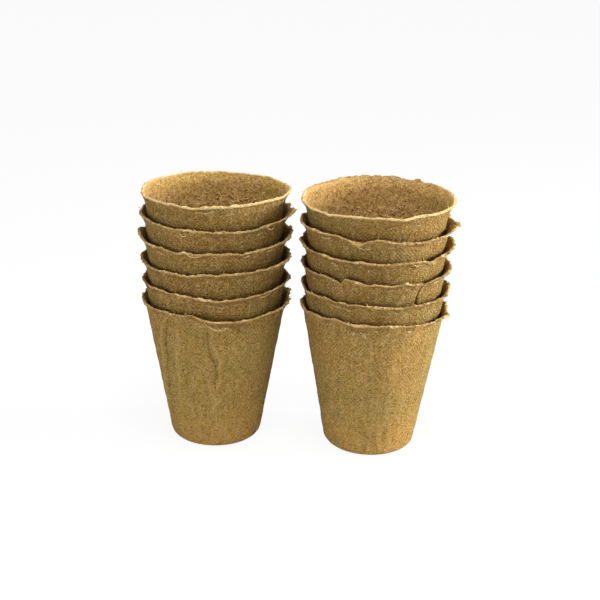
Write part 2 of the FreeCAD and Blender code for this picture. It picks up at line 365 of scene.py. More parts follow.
# Long strands that hang from a lip: five points each, of bearing and height in mm
STRANDS = {
    "left_pot_1": (
        ((-6, 79.5), (-3, 77.6), (1, 76.2), (4, 75.2), (7, 74.2)),
        ((3, 78.2), (5, 76.4), (7, 75.0), (10, 75.4), (13, 77.6)),
    ),
    "left_pot_2": (((34, 79.4), (38, 78.4), (42, 78.0), (47, 78.4), (52, 79.4)),),
    "left_pot_5": (
        ((-24, 79.0), (-23, 77.4), (-21, 76.2), (-19, 76.6), (-18, 78.4)),
        ((44, 79.6), (46, 78.2), (49, 77.2), (52, 78.0), (54, 79.8)),
    ),
    "left_pot_4": (((-20, 79.2), (-16, 78.0), (-12, 77.8), (-8, 78.4), (-4, 79.2)),),
    "right_pot_5": (((-20, 78.8), (-18, 77.6), (-15, 77.0), (-13, 76.4), (-9, 76.9)),),
    "right_pot_4": (((20, 79.2), (24, 78.6), (27, 77.6), (30, 78.2), (33, 79.6)),),
}


def smooth(values):
    """An even step from 0 to 1."""
    share = np.clip(values, 0, 1)
    return share * share * (3 - 2 * share)


def noise(points, pitch, shift):
    """Smooth noise from about -1 to 1, with lumps about one pitch across."""
    places = points / pitch + shift
    cells = np.floor(places).astype(np.int32)
    inner = (places - cells).astype(np.float32)
    fade = inner ** 3 * (inner * (inner * 6 - 15) + 10)
    total = np.zeros(points.shape[:-1], np.float32)
    for corner in itertools.product((0, 1), repeat=3):
        found = (cells + np.array(corner, np.int32)) % LATTICE
        slope = gradients[(found[..., 0] * LATTICE + found[..., 1]) * LATTICE + found[..., 2]]
        value = sum(slope[..., axis] * (inner[..., axis] - corner[axis]) for axis in range(3))
        for axis in range(3):
            value = value * (fade[..., axis] if corner[axis] else 1 - fade[..., axis])
        total += value
    return total * NOISE_GAIN


def layered(points, pitch, shift, count=3):
    """Noise with finer and weaker layers on top."""
    total = 0
    for n in range(count):
        total = total + noise(points, pitch / 2 ** n, shift + LAYER_SHIFT * n) / LAYER_WEAKENING ** n
    return np.clip(total / LAYERED_RANGE, -1, 1)


def at_bearing(radius, height, bearing):
    """Points in space from a radius and a height at a bearing."""
    radius, height, bearing = np.broadcast_arrays(radius, height, bearing)
    return np.stack([radius * np.sin(bearing), -radius * np.cos(bearing), height], axis=-1)


def degrees_from(bearing, centre):
    """How many degrees a bearing lies to the right of a centre."""
    return (np.degrees(bearing) - centre + 180) % 360 - 180


def read_pot(name):
    """A packed pot's axis, the height of its foot, and its trimmed rim's radius at each bearing."""
    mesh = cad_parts[name].data
    points = np.empty(len(mesh.vertices) * 3)
    mesh.vertices.foreach_get("co", points)
    points = points.reshape(-1, 3) / MM
    normals = np.empty(len(mesh.polygons) * 3)
    mesh.polygons.foreach_get("normal", normals)
    corners = np.empty(len(mesh.loops), int)
    mesh.loops.foreach_get("vertex_index", corners)
    corners = corners.reshape(-1, 3)
    foot = points[:, 2].min()
    ring = points[points[:, 2] < foot + FOOT_SLICE]
    axis = (ring.min(axis=0) + ring.max(axis=0))[:2] / 2
    upright = np.abs(normals.reshape(-1, 3)[:, 2]) < FLAT_NORMAL
    high = points[corners][:, :, 2].min(axis=1) > foot + POT_HEIGHT - LIP_RADIUS
    cut = points[np.unique(corners[upright & high])]
    bearing = np.arctan2(cut[:, 0] - axis[0], axis[1] - cut[:, 1]) % FULL_TURN
    order = np.argsort(bearing)
    radius = np.hypot(cut[:, 0] - axis[0], cut[:, 1] - axis[1])
    return axis, foot, bearing[order], radius[order]


def lip_place():
    """The centre of the lip's arc and the root where it leaves the straight wall, as radius and height."""
    centre_radius = RIM_RADIUS + LIP_RADIUS * math.cos(LIP_ANGLE)
    centre_height = POT_HEIGHT - math.sqrt((LIP_RADIUS + WALL) ** 2 - (centre_radius - RIM_RADIUS) ** 2)
    root_radius = centre_radius - LIP_RADIUS * math.cos(DRAFT)
    root_height = centre_height + LIP_RADIUS * math.sin(DRAFT)
    return centre_radius, root_radius, root_height


def wall_strip(bearing):
    """The outer surface from the drain hole up to the lip's root: radius, height, heading and thickness."""
    _, root_radius, root_height = lip_place()
    foot_centre = root_radius - (root_height - FOOT_RADIUS) * math.tan(DRAFT) - FOOT_RADIUS / math.cos(DRAFT)
    turn = np.linspace(0, math.pi / 2 - DRAFT, FOOT_ROWS + 1)[:-1]
    wall_radius = foot_centre + FOOT_RADIUS * math.cos(DRAFT)
    wall_height = FOOT_RADIUS - FOOT_RADIUS * math.sin(DRAFT)
    along = np.linspace(0, (root_height - wall_height) / math.cos(DRAFT), WALL_ROWS + 1)[:-1]
    radius = np.concatenate([
        np.linspace(DRAIN_RADIUS, foot_centre, FLOOR_ROWS + 1)[:-1],
        foot_centre + FOOT_RADIUS * np.sin(turn),
        wall_radius + along * math.sin(DRAFT),
    ])
    height = np.concatenate([
        np.zeros(FLOOR_ROWS),
        FOOT_RADIUS - FOOT_RADIUS * np.cos(turn),
        wall_height + along * math.cos(DRAFT),
    ])
    heading = np.concatenate([
        np.full(FLOOR_ROWS, math.pi / 2),
        math.pi / 2 - turn,
        np.full(WALL_ROWS, DRAFT),
    ])
    thick = WALL + (FLOOR - WALL) * smooth((heading - DRAFT) / (math.pi / 2 - DRAFT))
    wide = np.ones_like(bearing)
    return [values[:, None] * wide for values in (radius, height, heading, thick)]


def far_side(name, bearing):
    """How much of a top pot's rim is torn and brown: all of it round the back of the right one."""
    if name != BROWN_POT:
        return 0 * bearing
    return smooth((BROWN_REACH - np.abs(degrees_from(bearing, BROWN_CENTRE))) / BROWN_FADE)


def rags(ring, pitch, shift, start, width):
    """Rags along a rim: a steep step up wherever the noise rises past a start."""
    return smooth((noise(ring, pitch, shift) - start) / width) - RAG_LEVEL


def lip_strip(name, bearing, trimmed, shift):
    """The lip's outer curve up to its tip in even steps, its length, its torn widths and its peeled strip."""
    centre_radius, root_radius, root_height = lip_place()
    ring = at_bearing(RIM_RADIUS, 0, bearing)
    side = np.abs(np.sin(bearing))
    right = bearing < math.pi
    worn = CALM_SHARE + (1 - CALM_SHARE) * far_side(name, bearing) if name in TOP_POTS else 1.0
    rough = worn * (LEAST_ROUGH + (1 - LEAST_ROUGH) * smooth(0.5 + 1.5 * noise(ring, 16.0, shift + 12)))

    length = LIP_RADIUS * (np.arccos((centre_radius - trimmed) / (LIP_RADIUS + WALL / 2)) - DRAFT)
    length += REACH + np.where(right, *REACH_AT_SIDES) * side
    length += REACH_WAVE * layered(ring, 8.0, shift, 2) + REACH_RIPPLE * rough * layered(ring, 2.0, shift + 9)
    ragged = (RAGS + np.where(right, *RAGS_AT_SIDES) * side) * rough
    length += ragged * rags(ring, 3.4, shift + 14, 0.15, 0.12)
    length += np.where(right, *SMALL_RAGS_AT_SIDES) * side * worn * rags(ring, 2.2, shift + 15, 0.1, 0.15)
    bend = BEND_WAVE * layered(ring, 16.0, shift + 3, 2) + BEND_RIPPLE * rough * layered(ring, 5.0, shift + 8)
    bend -= BEND_BACK + BEND_BACK_AT_SIDES * side
    outside = TORN_OUTSIDE + TORN_WAVE * layered(ring, 6.0, shift + 2)
    outside += 0.35 * rough * layered(ring, 1.5, shift + 17)
    inside = TORN_INSIDE + TORN_WAVE * layered(ring, 6.0, shift + 5)
    inside += 0.3 * rough * layered(ring, 1.5, shift + 18)
    peeled = worn * smooth(0.5 + 4 * noise(ring, 9.0, shift + 51))
    flake = FLAKE_WIDTH + FLAKE_WORN * worn + FLAKE_WAVE * layered(ring, 5.0, shift + 52)
    for centre, left_spread, right_spread, reach, turn, torn in LIPS[name]:
        away = degrees_from(bearing, centre)
        share = np.exp(-(away / np.where(away < 0, left_spread, right_spread)) ** 2)
        length += reach * share
        bend += math.radians(turn) * share
        outside += 0.5 * torn * share
        peeled = np.maximum(peeled, np.clip(1.5 * torn * share, 0, 1))
        flake += 0.6 * torn * share

    steps = np.linspace(0, 1, LIP_STEPS)[:, None]
    run = length * steps
    turned = DRAFT + run / LIP_RADIUS + bend * steps ** 2
    middle = (turned[1:] + turned[:-1]) / 2
    start = np.zeros_like(bearing)
    out = np.vstack([start, np.cumsum(np.diff(run, axis=0) * np.sin(middle), axis=0)])
    up = np.vstack([start, np.cumsum(np.diff(run, axis=0) * np.cos(middle), axis=0)])
    rise = np.interp(np.degrees(bearing), RISE_AT, RISES[name], period=360)
    radius = root_radius + rise * math.tan(DRAFT) + out
    height = root_height + rise + up
    thin = 0.65 + 0.35 * noise(ring, 6.5, shift + 4) + 0.15 * noise(ring, 2.0, shift + 7)
    thick = WALL * (1 - (1 - np.clip(thin, 0.35, 1.2)) * steps ** 3)
    torn_widths = np.clip(outside, *TORN_OUTSIDE_LIMITS), np.clip(inside, *TORN_INSIDE_LIMITS)
    return [radius, height, turned, thick], length, torn_widths, (peeled, np.clip(flake, *FLAKE_LIMITS))


def sample(table, places):
    """Values between a table's rows, at a fractional row for each column."""
    low = np.clip(np.floor(places).astype(int), 0, len(table) - 2)
    column = np.arange(table.shape[1])
    part = places - low
    return table[low, column] * (1 - part) + table[low + 1, column] * part


def crease_depth(name, bearing, radius, height):
    """How far the outer wall is pressed in."""
    depth = np.zeros_like(height)
    for deep, path in CREASES.get(name, ()):
        bearings, heights, widths = (np.array(values)[::-1] for values in zip(*path))
        points = at_bearing(radius, height, bearing)
        wander = 1.2 * noise(points, 9.0, 2.5) + 0.35 * noise(points, 2.8, 6.5)
        if name == SPLIT_POT:
            wander *= SPLIT_WANDER
        away = degrees_from(bearing, np.interp(height, heights, bearings)) * math.pi / 180 * radius + wander
        ends = smooth((heights[-1] - height) / 2) * smooth((height - heights[0]) / 4)
        depth += deep * ends * np.exp(-(away / np.interp(height, heights, widths)) ** 2)
    return depth


def outer_side(name, strip, bearing, from_edge, gap, shift, peel=0.0):
    """The outer surface with its relief; the gap is that to the pot below, or 0."""
    radius, height, heading, _ = strip
    points = at_bearing(radius, height, bearing)
    free = smooth((height - FREE_OUTSIDE_FROM) / FREE_FADE) if gap else np.ones_like(height)
    size = free * FREE_RELIEF * (NESTED_SHARE if gap else LOWEST_SHARE) + (1 - free) * GAP_SHARE * gap
    felt = 0.6 * layered(points, 5.0, shift, 4) + 0.5 * layered(points * (1, 1, 0.2), 5.0, shift + 6)
    standing = smooth((radius - DRAIN_RADIUS) / 2) * smooth(height / 4)
    crease = crease_depth(name, bearing, radius, height)
    swell = np.exp(-from_edge / SWELL_FADE) * SWELL_OUTSIDE * (1 + layered(points, 2.5, shift + 21))
    move = size * felt * standing - crease + swell - PEEL_DEPTH * peel
    return radius + move * np.cos(heading), height - move * np.sin(heading), crease


def inner_side(strip, bearing, from_edge, gap, shift):
    """The inner surface with its relief; the gap is that to the pot above, or 0."""
    radius, height, heading, thick = strip
    radius = radius - thick * np.cos(heading)
    height = height + thick * np.sin(heading)
    points = at_bearing(radius, height, bearing)
    free = smooth((height - FREE_INSIDE_FROM) / FREE_FADE) if gap else np.ones_like(height)
    size = free * FELT_RELIEF + (1 - free) * GAP_SHARE * gap
    felt = 0.55 * layered(points, 4.2, shift + 11, 4) + 0.45 * layered(points, 2.4, shift + 13, 2)
    swell = np.exp(-from_edge / SWELL_FADE) * SWELL_INSIDE * (1 + layered(points, 2.5, shift + 22))
    move = size * felt * smooth((radius - DRAIN_RADIUS) / 2) + swell
    return radius - move * np.cos(heading), height + move * np.sin(heading)


def cut_back(curve, length, torn):
    """One side of the lip up to where it is torn off, and how far each of its points is from there."""
    spread = np.linspace(0, 1, LIP_ROWS)[:, None] ** LIP_CROWDING * (LIP_STEPS - 1)
    places = spread * (1 - torn / length)
    left = length * (1 - torn / length) * (1 - spread / (LIP_STEPS - 1))
    return [sample(values, places) for values in curve], left


def torn_face(curve, bearing, torn_outside, torn_inside, shift):
    """The torn face between the two sides of a lip: its radius, height, and the share of the way across."""
    across = (np.arange(1, EDGE_ROWS + 1) / (EDGE_ROWS + 1))[:, None]
    tip_radius, tip_height, heading, thick = (values[-1] for values in curve)
    drop = thick * across + FACE_DEPTH * layered(at_bearing(RIM_RADIUS, 6 * across, bearing), 1.3, shift + 33)
    short = torn_outside * (1 - across) ** 2 + torn_inside * across ** 2
    short = short + FACE_REACH * layered(at_bearing(RIM_RADIUS, 3 * across, bearing), 1.5, shift + 31)
    radius = tip_radius - drop * np.cos(heading) - short * np.sin(heading)
    height = tip_height + drop * np.sin(heading) - short * np.cos(heading)
    return radius, height, across


def pot_rings(name, below, above, number):
    """The strips of one pot, from the drain hole out, over the lip and back in, with their shading layers."""
    axis, foot, cut_bearing, cut_radius = read_pot(name)
    shift = np.array(POT_SHIFT) * number
    wide = np.arange(WALL_COLUMNS) * FULL_TURN / WALL_COLUMNS
    fine = np.arange(LIP_COLUMNS) * FULL_TURN / LIP_COLUMNS
    ring = at_bearing(RIM_RADIUS, 0, fine)
    trimmed = np.interp(fine, cut_bearing, cut_radius, period=FULL_TURN)
    if name in TOP_POTS:
        nearby = range(-CALM_COLUMNS, CALM_COLUMNS + 1)
        trimmed = np.mean([np.roll(trimmed, columns) for columns in nearby], axis=0)
    wall = wall_strip(wide)
    curve, length, (torn_outside, torn_inside), (peeled, flake) = lip_strip(name, fine, trimmed, shift)
    outer_lip, outer_left = cut_back(curve, length, torn_outside)
    inner_lip, inner_left = cut_back(curve, length, torn_inside)
    wall_left = (lip_place()[2] - wall[1]) / math.cos(DRAFT) + length[::2]

    brown = far_side(name, fine)
    peel = peeled * smooth((flake - outer_left) / 0.3 + 0.5)
    flake_end = STEP_SHADE * peeled * np.exp(-((outer_left - flake) / STEP_WIDTH) ** 2)
    skinned = SKINNED_WIDTH + SKINNED_WAVE * layered(ring, 5.0, shift + 53)
    inner_peel = (brown + (1 - brown) * SKINNED_SHADE * peeled) * smooth((skinned - inner_left) / 0.5)
    fade = EDGE_FADE + EDGE_FADE_WAVE * (1 + noise(ring, 3.0, shift + 41))
    outer_edge = np.maximum(np.exp(-(outer_left / fade) ** 2), flake_end)
    inner_edge = (1 - brown) * np.exp(-(inner_left / fade) ** 2)
    band = BAND_WIDTH - BAND_AT_LEFT * np.sin(fine) + BAND_AT_FRONT.get(name, 0) * np.cos(fine)
    band = band + BAND_WAVE * noise(ring, 7.0, shift + 43)
    lip_band = smooth((band - inner_left) / BAND_FADE)
    wall_band = smooth((band[::2] - wall_left) / BAND_FADE)

    wall_r, wall_z, wall_crease = outer_side(name, wall, wide, wall_left, below, shift)
    lip_r, lip_z, lip_crease = outer_side(name, outer_lip, fine, outer_left, below, shift, peel)
    face_r, face_z, across = torn_face(curve, fine, torn_outside, torn_inside, shift)
    back_r, back_z = inner_side(inner_lip, fine, inner_left, above, shift)
    room_r, room_z = inner_side(wall, wide, wall_left, above, shift)
    drain_r, drain_z = room_r[:1], (room_z[:1] + wall_z[:1]) / 2

    # Each strip has its radius, height and bearing, and then its shading layers in the order of LAYERS
    strips = (
        (wall_r, wall_z, wide, 0 * wall_r, 0, wall_crease, 0, 0),
        (lip_r, lip_z, fine, outer_edge, 0, lip_crease, 0, peel),
        (face_r, face_z, fine, 0 * face_r + 1 - brown, across, 0, 1, BROWN_SHADE * brown),
        (back_r[::-1], back_z[::-1], fine, inner_edge[::-1], 1, 0, lip_band[::-1], inner_peel[::-1]),
        (room_r[::-1], room_z[::-1], wide, 0 * room_r, 1, 0, wall_band[::-1], 0),
        (drain_r, drain_z, wide, 0 * drain_r, 1, 0, 0, 0),
    )
    rings = []
    for radius, height, bearing, edge, *layers in strips:
        points = at_bearing(radius, height, bearing)
        rings.append((points, edge, *(layer + 0 * edge for layer in layers)))
    return Vector((axis[0], axis[1], foot)), rings


def joining_faces(first, first_count, second, second_count):
    """Triangles between two rings, where one may have twice the points of the other."""
    count = min(first_count, second_count)
    column = np.arange(count)
    following = (column + 1) % count
    if first_count == second_count:
        a, b, c, d = first + column, first + following, second + following, second + column
        return [(a, b, c), (a, c, d)]
    coarse, dense = (first, second) if first_count < second_count else (second, first)
    a, b = coarse + column, coarse + following
    c, d, e = dense + 2 * column, dense + 2 * column + 1, dense + 2 * following
    faces = [(a, b, d), (a, d, c), (b, e, d)]
    return faces if first_count < second_count else [(p, r, q) for p, q, r in faces]


def make_mesh(name, points, faces, place):
    """A mesh object from an array of points in mm and one of faces."""
    mesh = bpy.data.meshes.new(name)
    mesh.vertices.add(len(points))
    mesh.vertices.foreach_set("co", (points * MM).ravel())
    mesh.loops.add(faces.size)
    mesh.loops.foreach_set("vertex_index", faces.ravel())
    mesh.polygons.add(len(faces))
    mesh.polygons.foreach_set("loop_start", np.arange(len(faces)) * faces.shape[1])
    mesh.polygons.foreach_set("use_smooth", np.ones(len(faces), bool))
    mesh.update(calc_edges=True)
    piece = bpy.data.objects.new(name, mesh)
    piece.location = place * MM
    bpy.context.scene.collection.objects.link(piece)
    return piece


def make_pot(name, place, strips):
    """The visible mesh of one pot; its rings close through the drain hole."""
    starts, counts, start = [], [], 0
    for points, *_ in strips:
        for _ in points:
            starts.append(start)
            counts.append(points.shape[1])
            start += points.shape[1]
    faces = []
    for index, first in enumerate(starts):
        following = (index + 1) % len(starts)
        for corners in joining_faces(first, counts[index], starts[following], counts[following]):
            faces.append(np.stack(corners, axis=1))
    points = np.concatenate([strip[0].reshape(-1, 3) for strip in strips])
    pot = make_mesh(name, points, np.concatenate(faces), place)
    for index, layer in enumerate(LAYERS, start=1):
        values = np.concatenate([strip[index].ravel() for strip in strips])
        attribute = pot.data.attributes.new(layer, "FLOAT", "POINT")
        attribute.data.foreach_set("value", values.astype(np.float32))
    return pot


def hung_strands(name):
    """The long loose strands at their own places on a lip: an array of fibres, steps and places."""
    steps = np.linspace(0, 4, STRAND_STEPS)
    strands = []
    for strand in STRANDS.get(name, ()):
        bearings, heights = (np.interp(steps, range(5), values) for values in zip(*strand))
        stand_off = STRAND_ROOT + STRAND_ARCH * np.sin(math.pi * steps / 4)
        strands.append(at_bearing(RIM_RADIUS - STRAND_INSET + stand_off, heights, np.radians(bearings)))
    return np.array(strands)


def surface_walks(points, outward, count, lengths, curl, lift, draw):
    """Curly paths that hug a strip of surface: an array of fibres, steps and places."""
    rows, columns = points.shape[:2]
    row = draw.uniform(3, rows - 4, count)
    column = draw.uniform(0, columns, count)
    heading = draw.uniform(0, FULL_TURN, count)
    turning = draw.normal(0, curl, count)
    step = draw.uniform(*lengths, count) / WALL_STEPS
    row_pitch = np.linalg.norm(points[1:, 0] - points[:-1, 0], axis=1)
    column_pitch = np.linalg.norm(points[:, 1] - points[:, 0], axis=1)
    paths = []
    for index in range(WALL_STEPS):
        low = np.clip(row.astype(int), 0, rows - 2)
        whole = np.floor(column).astype(int)
        up, over = (row - low)[:, None], (column - whole)[:, None]
        left, right = whole % columns, (whole + 1) % columns
        here = points[low, left] * (1 - up) * (1 - over) + points[low + 1, left] * up * (1 - over)
        here += points[low, right] * (1 - up) * over + points[low + 1, right] * up * over
        arch = np.sin(math.pi * index / (WALL_STEPS - 1)) * lift * draw.uniform(0.3, 1.0, count)
        paths.append(here + outward[low, left] * arch[:, None])
        heading = heading + turning * step + draw.normal(0, 0.25, count)
        row = np.clip(row + step * np.sin(heading) / row_pitch[low], 1, rows - 2)
        column = column + step * np.cos(heading) / column_pitch[low]
    return np.stack(paths, axis=1)


def free_walks(points, outward, count, lengths, draw):
    """Short curly paths that stand off the torn edge."""
    rows, columns = points.shape[:2]
    row, column = draw.integers(0, rows, count), draw.integers(0, columns, count)
    here = points[row, column].copy()
    along = points[row, (column + 1) % columns] - points[row, column]
    along /= np.linalg.norm(along, axis=1, keepdims=True)
    standing = outward[row, column] * draw.uniform(0.0, 0.5, (count, 1))
    heading = standing + along * draw.choice([-1, 1], (count, 1))
    heading = heading + draw.normal(0, 0.35, (count, 3))
    heading /= np.linalg.norm(heading, axis=1, keepdims=True)
    curl = draw.normal(0, 0.45, (count, 3))
    step = draw.uniform(*lengths, (count, 1)) / EDGE_STEPS
    here -= heading * ROOT_DEPTH
    paths = []
    for _ in range(EDGE_STEPS):
        paths.append(here.copy())
        here = here + heading * step
        heading = heading + curl * step
        heading /= np.linalg.norm(heading, axis=1, keepdims=True)
    return np.stack(paths, axis=1)


def fibre_tubes(paths, radii):
    """Closed three-sided tubes along paths, thinner at their ends."""
    count, steps, _ = paths.shape
    tangent = np.gradient(paths, axis=1)
    tangent /= np.linalg.norm(tangent, axis=2, keepdims=True) + 1e-9
    side = np.cross(tangent, (0.31, 0.52, 0.79))
    side /= np.linalg.norm(side, axis=2, keepdims=True) + 1e-9
    other = np.cross(tangent, side)
    taper = np.sqrt(np.sin(np.linspace(0.12, math.pi - 0.12, steps)))[None, :, None]
    points = []
    for corner in range(3):
        angle = FULL_TURN * corner / 3
        away = side * math.cos(angle) + other * math.sin(angle)
        points.append(paths + away * taper * radii[:, None, None])
    points = np.stack(points, axis=2).reshape(-1, 3)
    start = np.arange(count)[:, None] * steps * 3
    ring = start + np.arange(steps - 1)[None, :] * 3
    faces = [np.stack([start[:, 0], start[:, 0] + 2, start[:, 0] + 1], axis=1)]
    last = start[:, 0] + (steps - 1) * 3
    faces.append(np.stack([last, last + 1, last + 2], axis=1))
    for corner in range(3):
        a, b = ring + corner, ring + (corner + 1) % 3
        faces.append(np.stack([a, b, b + 3], axis=-1).reshape(-1, 3))
        faces.append(np.stack([a, b + 3, a + 3], axis=-1).reshape(-1, 3))
    return points, np.concatenate(faces)


def away_from_wall(points, sign):
    """The wall's unit normals at points on it: outwards for 1, and into the pot for -1."""
    flat = points * (1, 1, 0)
    flat = flat / np.linalg.norm(flat, axis=2, keepdims=True)
    return sign * (flat * math.cos(DRAFT) + np.array((0, 0, -math.sin(DRAFT))))


def make_fibres(name, place, strips, filled, number):
    """The loose fibres of one pot, in one mesh; a filled pot holds another and shows no inside."""
    draw = np.random.default_rng(100 + number)
    edge = strips[2][0]
    inner_wall = strips[4][0][:-FOOT_ROWS - FLOOR_ROWS]
    outer_wall = strips[0][0][FLOOR_ROWS + FOOT_ROWS:]
    columns = np.arange(LIP_COLUMNS)
    under_lip = at_bearing(*UNDER_LIP, columns * FULL_TURN / LIP_COLUMNS)
    outward = edge - under_lip
    outward /= np.linalg.norm(outward, axis=2, keepdims=True)

    inner_lift, inner_fibres = (HIDDEN_LIFT, HIDDEN_FIBRES) if filled else (SEEN_LIFT, SEEN_FIBRES)
    groups = []
    for count, lengths, radii in (EDGE_FIBRES, EDGE_CURLS):
        groups.append((free_walks(edge, outward, count, lengths, draw), radii))
    for points, sign, curl, lift, (count, lengths, radii) in (
        (inner_wall, -1, INNER_CURL, inner_lift, inner_fibres),
        (outer_wall, 1, OUTER_CURL, WALL_LIFT, WALL_FIBRES),
    ):
        normals = away_from_wall(points, sign)
        groups.append((surface_walks(points, normals, count, lengths, curl, lift, draw), radii))
    if name in STRANDS:
        groups.append((hung_strands(name), STRAND_RADII))
    points, faces, start = [], [], 0
    for paths, radii in groups:
        made, corners = fibre_tubes(paths, draw.uniform(*radii, len(paths)))
        points.append(made)
        faces.append(corners + start)
        start += len(made)
    return make_mesh(name + "_fibres", np.concatenate(points), np.concatenate(faces), place)


def node(tree, kind, *inputs, **settings):
    """A new shader node; each input is a value or the socket that feeds it."""
    made = tree.nodes.new("ShaderNode" + kind)
    for setting, value in settings.items():
        setattr(made, setting, value)
    for socket, value in zip(made.inputs, inputs):
        if isinstance(value, bpy.types.NodeSocket):
            tree.links.new(value, socket)
        else:
            socket.default_value = value
    return made


def math_node(tree, operation, *inputs):
    """The result of one operation on values."""
    return node(tree, "Math", *inputs, operation=operation).outputs[0]


def times(tree, first, second):
    """The product of two values."""
    return math_node(tree, "MULTIPLY", first, second)


def step_node(tree, value, low, high, start=0.0, end=1.0):
    """A smooth step between two values."""
    return node(tree, "MapRange", value, low, high, start, end, interpolation_type="SMOOTHSTEP").outputs[0]


def mix_node(tree, share, first, second):
    """A mix of two colours."""
    made = tree.nodes.new("ShaderNodeMix")
    made.data_type = "RGBA"
    for index, value in ((0, share), (6, first), (7, second)):
        if isinstance(value, bpy.types.NodeSocket):
            tree.links.new(value, made.inputs[index])
        else:
            made.inputs[index].default_value = value
    return made.outputs[2]


def colour(red, green, blue):
    """A display colour, 0 to 255, as a shader value."""
    linear = [((part / 255 + 0.055) / 1.055) ** 2.4 for part in (red, green, blue)]
    return (*linear, 1.0)


def noise_node(tree, place, pitch, detail=3.0, rough=0.55, distortion=0.0):
    """Noise with lumps of a pitch in mm."""
    made = tree.nodes.new("ShaderNodeTexNoise")
    tree.links.new(place, made.inputs["Vector"])
    made.inputs["Scale"].default_value = 1 / pitch
    made.inputs["Detail"].default_value = detail
    made.inputs["Roughness"].default_value = rough
    made.inputs["Distortion"].default_value = distortion
    return made.outputs[0]


# Colours of the wall, the inside, the rim, the torn edge and the fibres
OLIVE = colour(160, 132, 64)
WARM = colour(171, 131, 64)
FOOT_WARM_AND_LIT = colour(198, 152, 74)
DARK = colour(118, 90, 42)
LIGHT = colour(202, 169, 106)
SHADE = colour(84, 60, 28)
INSIDE_BROWN = colour(184, 144, 84)
INSIDE_DARK = colour(134, 98, 52)
NEST_BROWN_AND_SHADE = colour(108, 74, 38)
PEEL_BROWN = colour(122, 88, 44)
RIM_PALE = colour(190, 156, 98)
RIM_BROWN_AND_SHADE = colour(164, 128, 72)
TORN_PALE = colour(232, 202, 144)
TORN_TAN = colour(190, 158, 102)
TORN_BROWN_AND_SHADE = colour(142, 110, 62)
FIBRE = colour(236, 202, 144)

# The share of dark on a nested pot's wall, which is painted shade under the lips above, and of brown inside a
# pot that holds another, partly its inner felt's own colour and partly painted shade in the gap
NESTED_PAINTED_SHADE = 0.36
FILLED_BROWN_AND_SHADE = 0.65

# The mould's screen: how many dots go round, and their pitch upwards in mm
IMPRINT_TURNS = 114.0
IMPRINT_PITCH = 2.2

# Finish of the pulp, and how deep the fine relief of its material is, in mm
ROUGHNESS = 0.95
SPECULAR = 0.15
PULP_BUMP = 2.2
FIBRE_BUMP = 0.1


def imprint(tree, place):
    """Dots in slanted rows, as the mould's screen leaves them."""
    parts = node(tree, "SeparateXYZ", place)
    around = times(tree, math_node(tree, "ARCTAN2", parts.outputs[0], parts.outputs[1]), IMPRINT_TURNS)
    upward = times(tree, parts.outputs[2], FULL_TURN / IMPRINT_PITCH)
    return times(tree, math_node(tree, "SINE", around), math_node(tree, "SINE", upward))


def empty_material(name):
    """A new material, its tree without a shader, and the place on the piece in mm."""
    material = bpy.data.materials.new(name)
    material.use_nodes = True
    tree = material.node_tree
    tree.nodes.clear()
    local = node(tree, "TexCoord").outputs["Object"]
    place = node(tree, "VectorMath", local, (1 / MM, 1 / MM, 1 / MM), operation="MULTIPLY").outputs[0]
    return material, tree, place


